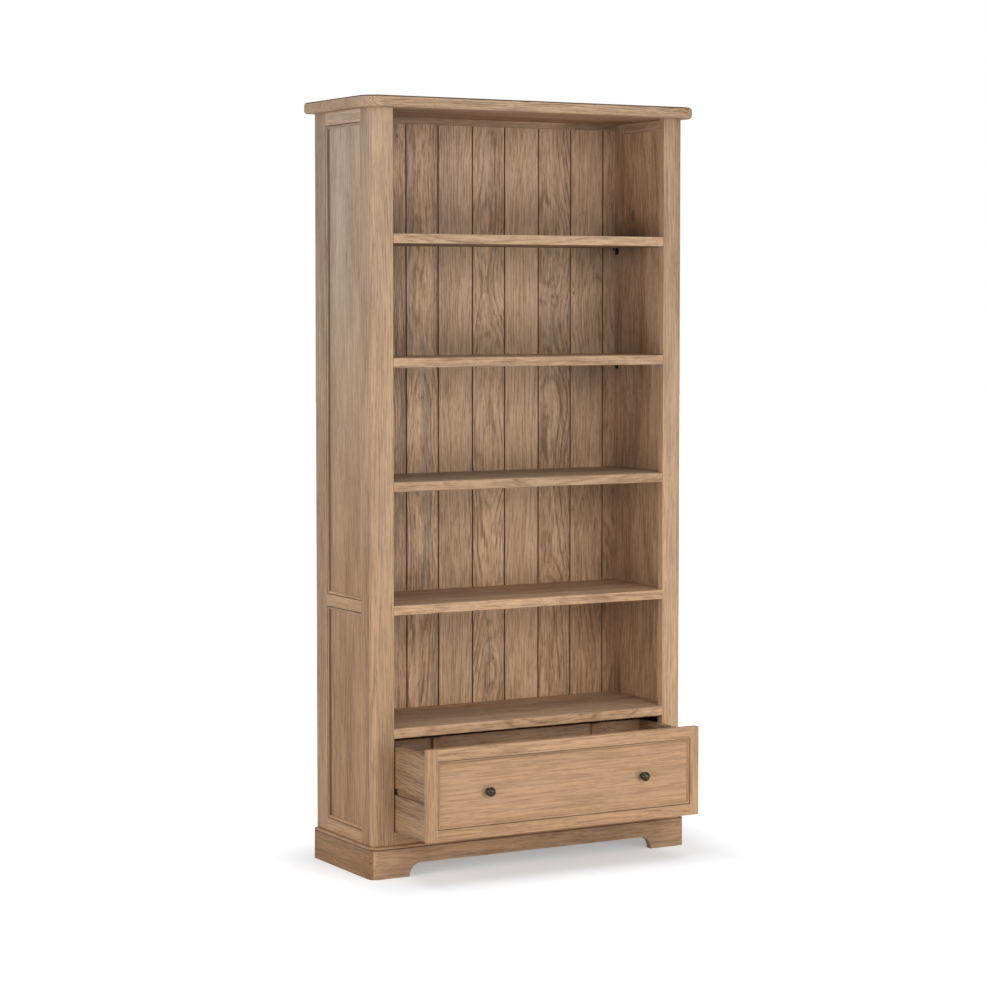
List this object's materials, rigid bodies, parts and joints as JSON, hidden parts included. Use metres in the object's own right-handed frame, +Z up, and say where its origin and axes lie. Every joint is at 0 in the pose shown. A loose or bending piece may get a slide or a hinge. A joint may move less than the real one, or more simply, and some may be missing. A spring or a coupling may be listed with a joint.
{
  "type": "bookcase",
  "caption": "Tall oak bookcase with loose shelves on pegs, panelled sides, a boarded back, an arched plinth and a wide inset drawer with two round knobs.",
  "frame": {"origin": "on the floor, midway across, and midway from the open drawer's knobs to the back", "axes": "+X to the right as seen from the front, +Y towards the back, +Z up"},
  "size_m": [1.002, 0.531, 2],
  "materials": {
    "oak_case": "matt oiled oak, straight grain along each piece",
    "oak_back": "matt oiled oak boards with upright cathedral grain",
    "oak_shelf": "matt oiled oak, grain along the shelf",
    "oak_drawer_front": "matt oiled oak, grain across the drawer",
    "oak_drawer_box": "plain sanded oak",
    "dark_metal": "dark antiqued metal, satin"
  },
  "bodies": {
    "case": {"back_board_1": "oak_back", "back_board_10": "oak_back", "back_board_2": "oak_back", "back_board_3": "oak_back", "back_board_4": "oak_back", "back_board_5": "oak_back", "back_board_6": "oak_back", "back_board_7": "oak_back", "back_board_8": "oak_back", "back_board_9": "oak_back", "back_top_cleat": "oak_back", "base_panel": "oak_drawer_box", "bottom_rail": "oak_case", "corner_blocks": "oak_drawer_box", "drawer_deck": "oak_shelf", "drawer_runner_left": "oak_drawer_box", "drawer_runner_right": "oak_drawer_box", "fixed_shelf": "oak_shelf", "front_post_left": "oak_case", "front_post_right": "oak_case", "plinth_back": "oak_case", "plinth_bead": "oak_case", "plinth_front": "oak_case", "plinth_left": "oak_case", "plinth_right": "oak_case", "shelf_pegs": "dark_metal", "side_beading_left": "oak_case", "side_beading_right": "oak_case", "side_bottom_rail_left": "oak_case", "side_bottom_rail_right": "oak_case", "side_front_stile_left": "oak_case", "side_front_stile_right": "oak_case", "side_lower_panel_left": "oak_case", "side_lower_panel_right": "oak_case", "side_middle_rail_left": "oak_case", "side_middle_rail_right": "oak_case", "side_rear_stile_left": "oak_case", "side_rear_stile_right": "oak_case", "side_top_rail_left": "oak_case", "side_top_rail_right": "oak_case", "side_upper_panel_left": "oak_case", "side_upper_panel_right": "oak_case", "top_board": "oak_case"},
    "drawer": {"drawer_back": "oak_drawer_box", "drawer_back_battens": "oak_drawer_box", "drawer_bottom": "oak_drawer_box", "drawer_front_beading": "oak_drawer_front", "drawer_front_bottom_rail": "oak_drawer_front", "drawer_front_panel": "oak_drawer_front", "drawer_front_stile_left": "oak_drawer_front", "drawer_front_stile_right": "oak_drawer_front", "drawer_front_top_rail": "oak_drawer_front", "drawer_side_left": "oak_drawer_box", "drawer_side_right": "oak_drawer_box", "knob_left": "dark_metal", "knob_right": "dark_metal", "knob_screws": "dark_metal"},
    "shelf_1": {"shelf_1": "oak_shelf"},
    "shelf_2": {"shelf_2": "oak_shelf"},
    "shelf_3": {"shelf_3": "oak_shelf"}
  },
  "joints": [
    {"name": "drawer_slide", "type": "slide", "parent": "case", "child": "drawer", "axis": [0, -1, 0], "range_m": [-0.183, 0.057]},
    {"name": "shelf_1_lift", "type": "slide", "parent": "case", "child": "shelf_1", "axis": [0, 0, 1], "range_m": [0, 0.04]},
    {"name": "shelf_2_lift", "type": "slide", "parent": "case", "child": "shelf_2", "axis": [0, 0, 1], "range_m": [0, 0.04]},
    {"name": "shelf_3_lift", "type": "slide", "parent": "case", "child": "shelf_3", "axis": [0, 0, 1], "range_m": [0, 0.04]}
  ]
}
